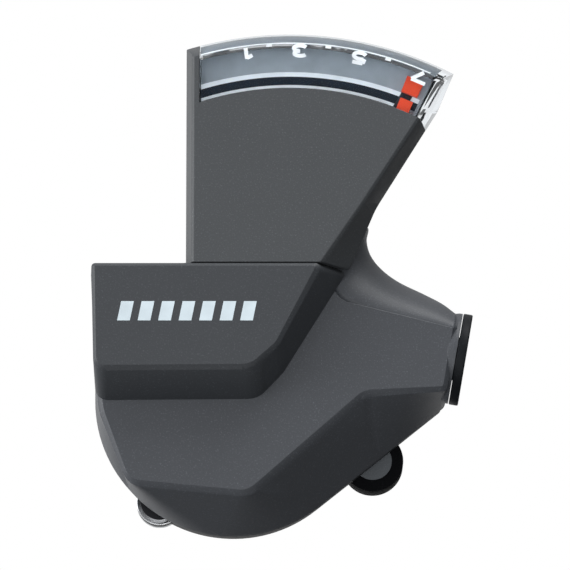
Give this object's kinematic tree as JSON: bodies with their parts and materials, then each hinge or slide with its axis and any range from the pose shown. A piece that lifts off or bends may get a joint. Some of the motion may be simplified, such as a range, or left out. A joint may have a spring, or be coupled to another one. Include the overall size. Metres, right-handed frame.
{
  "type": "thumb shifter",
  "caption": "Handlebar trigger shifter with moulded covers, a fan-shaped gear window and needle, thumb and finger levers, cable spool and barrel adjuster.",
  "frame": {"origin": "centre of the handlebar clamp's bore", "axes": "+X along the bar towards the stem (cable exit side), +Y towards the rider, +Z out of the top cover's face"},
  "size_m": [0.0609, 0.0792, 0.043],
  "materials": {
    "cover_plastic": "fine-grained near-black glass-filled nylon",
    "plate_plastic": "fine-grained near-black nylon",
    "case_plastic": "fine-grained near-black nylon",
    "base_plastic": "black moulded nylon",
    "clear_lens": "clear polished acrylic",
    "dial_print": "grey scale plate with white print",
    "needle_plastic": "orange-red moulding",
    "collar_plastic": "dark satin plastic",
    "pad_rubber": "black soft moulding",
    "inset_plastic": "dark grey satin plastic",
    "nylon": "natural nylon",
    "zinc_steel": "bright zinc-plated pressed steel",
    "black_steel": "black-finished steel",
    "bright_washer": "bright polished steel",
    "spring_steel": "drawn spring wire",
    "clamp_alloy": "dark anodised aluminium",
    "black_alloy": "black anodised aluminium",
    "brass": "turned brass"
  },
  "bodies": {
    "housing": {"main_cover": "cover_plastic", "name_plate": "plate_plastic", "indicator_case_upper": "case_plastic", "indicator_case_lower": "case_plastic", "indicator_window": "clear_lens", "dial_plate": "dial_print", "base_housing": "base_plastic", "bottom_plate": "zinc_steel", "clamp_band": "clamp_alloy", "clamp_bolt": "black_steel", "clamp_nut": "zinc_steel", "clamp_foot_screws": "black_steel", "base_screw": "black_steel", "base_screw_washer": "bright_washer", "cover_screws": "black_steel", "main_axle": "zinc_steel", "axle_nut": "zinc_steel", "axle_washer": "bright_washer", "lever_washers": "nylon", "lever_return_spring": "spring_steel", "spool_return_spring": "spring_steel", "needle_pivot_pin": "bright_washer", "hold_pawl_pin": "bright_washer", "hold_pawl_spring": "spring_steel", "adjuster_insert": "brass"},
    "spool": {"cable_spool": "nylon", "feed_ratchet": "zinc_steel", "hold_ratchet": "zinc_steel", "indicator_pinion": "nylon"},
    "needle": {"needle_arm": "needle_plastic", "needle_flag": "needle_plastic"},
    "main_lever": {"main_lever": "black_steel", "main_lever_pad": "pad_rubber", "drive_post": "zinc_steel", "lever_drive_plate": "zinc_steel", "feed_pawl_pin": "bright_washer", "feed_pawl_spring": "spring_steel"},
    "feed_pawl": {"feed_pawl": "zinc_steel"},
    "release_lever": {"release_lever": "black_steel", "release_lever_pad": "pad_rubber", "release_pad_inset": "inset_plastic"},
    "hold_pawl": {"hold_pawl": "zinc_steel"},
    "cable_stop": {"cable_stop_bush": "brass"},
    "barrel": {"barrel_adjuster": "black_alloy", "adjuster_collar": "collar_plastic"}
  },
  "joints": [
    {"name": "spool_turn", "type": "hinge", "parent": "housing", "child": "spool", "pos_m": [-0.0045, -0.0386, 0.007], "axis": [0, 0, 1], "range_deg": [0, 91.8]},
    {"name": "needle_swing", "type": "hinge", "parent": "housing", "child": "needle", "pos_m": [0.00444, -0.03758, 0.011], "axis": [0, 0, 1], "range_deg": [0, 30.6]},
    {"name": "main_lever_push", "type": "hinge", "parent": "housing", "child": "main_lever", "pos_m": [-0.0045, -0.0386, -0.011], "axis": [0, 0, 1], "range_deg": [0, 45], "stiffness_Nm_per_rad": 0.05},
    {"name": "feed_pawl_lift", "type": "hinge", "parent": "main_lever", "child": "feed_pawl", "pos_m": [-0.00901, -0.051, -0.001], "axis": [0, 0, -1], "range_deg": [0, 10], "stiffness_Nm_per_rad": 0.002},
    {"name": "release_lever_pull", "type": "hinge", "parent": "housing", "child": "release_lever", "pos_m": [-0.0045, -0.0386, -0.009], "axis": [0, 0, 1], "range_deg": [0, 12], "stiffness_Nm_per_rad": 0.1},
    {"name": "hold_pawl_lift", "type": "hinge", "parent": "housing", "child": "hold_pawl", "pos_m": [-0.01888, -0.03606, 0.001], "axis": [0, 0, 1], "range_deg": [0, 12]},
    {"name": "adjuster_travel", "type": "slide", "parent": "housing", "child": "cable_stop", "axis": [0.9854, -0.1702, 0], "range_m": [0, 0.0024]},
    {"name": "adjuster_turn", "type": "hinge", "parent": "cable_stop", "child": "barrel", "pos_m": [0.03249, -0.03362, 0.007], "axis": [0.9854, -0.1702, 0], "range_deg": [0, 1081]}
  ],
  "couplings": [
    {"joint": "needle_swing", "follows": "spool_turn", "ratio": 0.33333},
    {"joint": "hold_pawl_lift", "follows": "release_lever_pull", "ratio": 1},
    {"joint": "adjuster_turn", "follows": "adjuster_travel", "rad_per_m": 7854}
  ]
}
